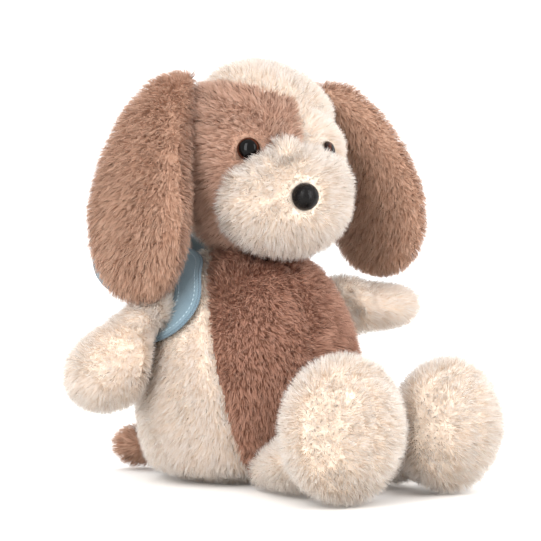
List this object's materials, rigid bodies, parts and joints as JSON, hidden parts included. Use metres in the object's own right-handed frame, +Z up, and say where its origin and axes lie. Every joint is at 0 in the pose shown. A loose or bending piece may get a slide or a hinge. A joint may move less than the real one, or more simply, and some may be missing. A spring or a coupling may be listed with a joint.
{
  "type": "plush dog",
  "caption": "Seated plush dog with long drooping ears, a padded muzzle, big round feet and a small backpack on two shoulder straps.",
  "frame": {"origin": "middle of the flat seat, on the surface that the toy sits on", "axes": "+Z up, the dog faces -Y, its right side is -X"},
  "size_m": [0.2216, 0.2347, 0.233],
  "materials": {
    "cream_plush": "long soft pile plush, cream",
    "taupe_plush": "long soft pile plush, taupe brown",
    "patch_plush": "long soft pile plush, warm brown",
    "belly_plush": "long soft pile plush, darker brown",
    "blue_fabric": "woven cotton, pale grey blue",
    "stuffing": "white polyester fibre",
    "pellet_cloth": "plain cloth bag of plastic pellets",
    "black_button": "gloss",
    "washer_plastic": "matte"
  },
  "bodies": {
    "torso": {"belly_panel_right": "belly_plush", "belly_panel_left": "belly_plush", "side_panel_right": "cream_plush", "side_panel_left": "cream_plush", "base_panel": "cream_plush", "torso_stuffing": "stuffing", "pellet_bag": "pellet_cloth", "bag_back_panel": "blue_fabric", "bag_gusset": "blue_fabric", "bag_front_panel": "blue_fabric", "bag_stuffing": "stuffing", "strap_right": "blue_fabric", "strap_left": "blue_fabric"},
    "head": {"face_panel_right": "patch_plush", "face_panel_left": "cream_plush", "crown_panel": "cream_plush", "head_back_panel": "cream_plush", "head_stuffing": "stuffing", "muzzle_panel": "cream_plush", "muzzle_stuffing": "stuffing", "eye_right": "black_button", "eye_washer_right": "washer_plastic", "eye_left": "black_button", "eye_washer_left": "washer_plastic", "nose": "black_button", "nose_washer": "washer_plastic"},
    "ear_right": {"ear_outer_panel_right": "taupe_plush", "ear_inner_panel_right": "taupe_plush", "ear_stuffing_right": "stuffing"},
    "arm_right": {"arm_panel_right": "cream_plush", "arm_stuffing_right": "stuffing"},
    "leg_right": {"leg_panel_right": "cream_plush", "sole_panel_right": "cream_plush", "leg_stuffing_right": "stuffing"},
    "ear_left": {"ear_outer_panel_left": "taupe_plush", "ear_inner_panel_left": "taupe_plush", "ear_stuffing_left": "stuffing"},
    "arm_left": {"arm_panel_left": "cream_plush", "arm_stuffing_left": "stuffing"},
    "leg_left": {"leg_panel_left": "cream_plush", "sole_panel_left": "cream_plush", "leg_stuffing_left": "stuffing"},
    "tail": {"tail_panel": "taupe_plush", "tail_stuffing": "stuffing"}
  },
  "joints": [
    {"name": "head_turn", "type": "hinge", "parent": "torso", "child": "head", "pos_m": [0, 0, 0.134], "axis": [0, 0, 1], "range_deg": [-10, 10], "stiffness_Nm_per_rad": 0.3},
    {"name": "ear_swing_right", "type": "hinge", "parent": "head", "child": "ear_right", "pos_m": [-0.036, 0.006, 0.213], "axis": [0, 1, 0], "range_deg": [0, 35]},
    {"name": "ear_swing_left", "type": "hinge", "parent": "head", "child": "ear_left", "pos_m": [0.037, -0.011, 0.214], "axis": [0, -1, 0], "range_deg": [0, 35]},
    {"name": "arm_swing_right", "type": "hinge", "parent": "torso", "child": "arm_right", "pos_m": [-0.05, 0.007, 0.088], "axis": [0, 0, 1], "range_deg": [-20, 20], "stiffness_Nm_per_rad": 0.05},
    {"name": "arm_swing_left", "type": "hinge", "parent": "torso", "child": "arm_left", "pos_m": [0.05, 0.004, 0.094], "axis": [0, 0, 1], "range_deg": [-20, 20], "stiffness_Nm_per_rad": 0.05},
    {"name": "leg_lift_right", "type": "hinge", "parent": "torso", "child": "leg_right", "pos_m": [-0.03, -0.047, 0.012], "axis": [-1, 0, 0], "range_deg": [0, 25]},
    {"name": "leg_lift_left", "type": "hinge", "parent": "torso", "child": "leg_left", "pos_m": [0.03, -0.047, 0.012], "axis": [-1, 0, 0], "range_deg": [0, 25]},
    {"name": "tail_wag", "type": "hinge", "parent": "torso", "child": "tail", "pos_m": [-0.01, 0.056, 0.014], "axis": [0, 0, 1], "range_deg": [-15, 15], "stiffness_Nm_per_rad": 0.03}
  ]
}
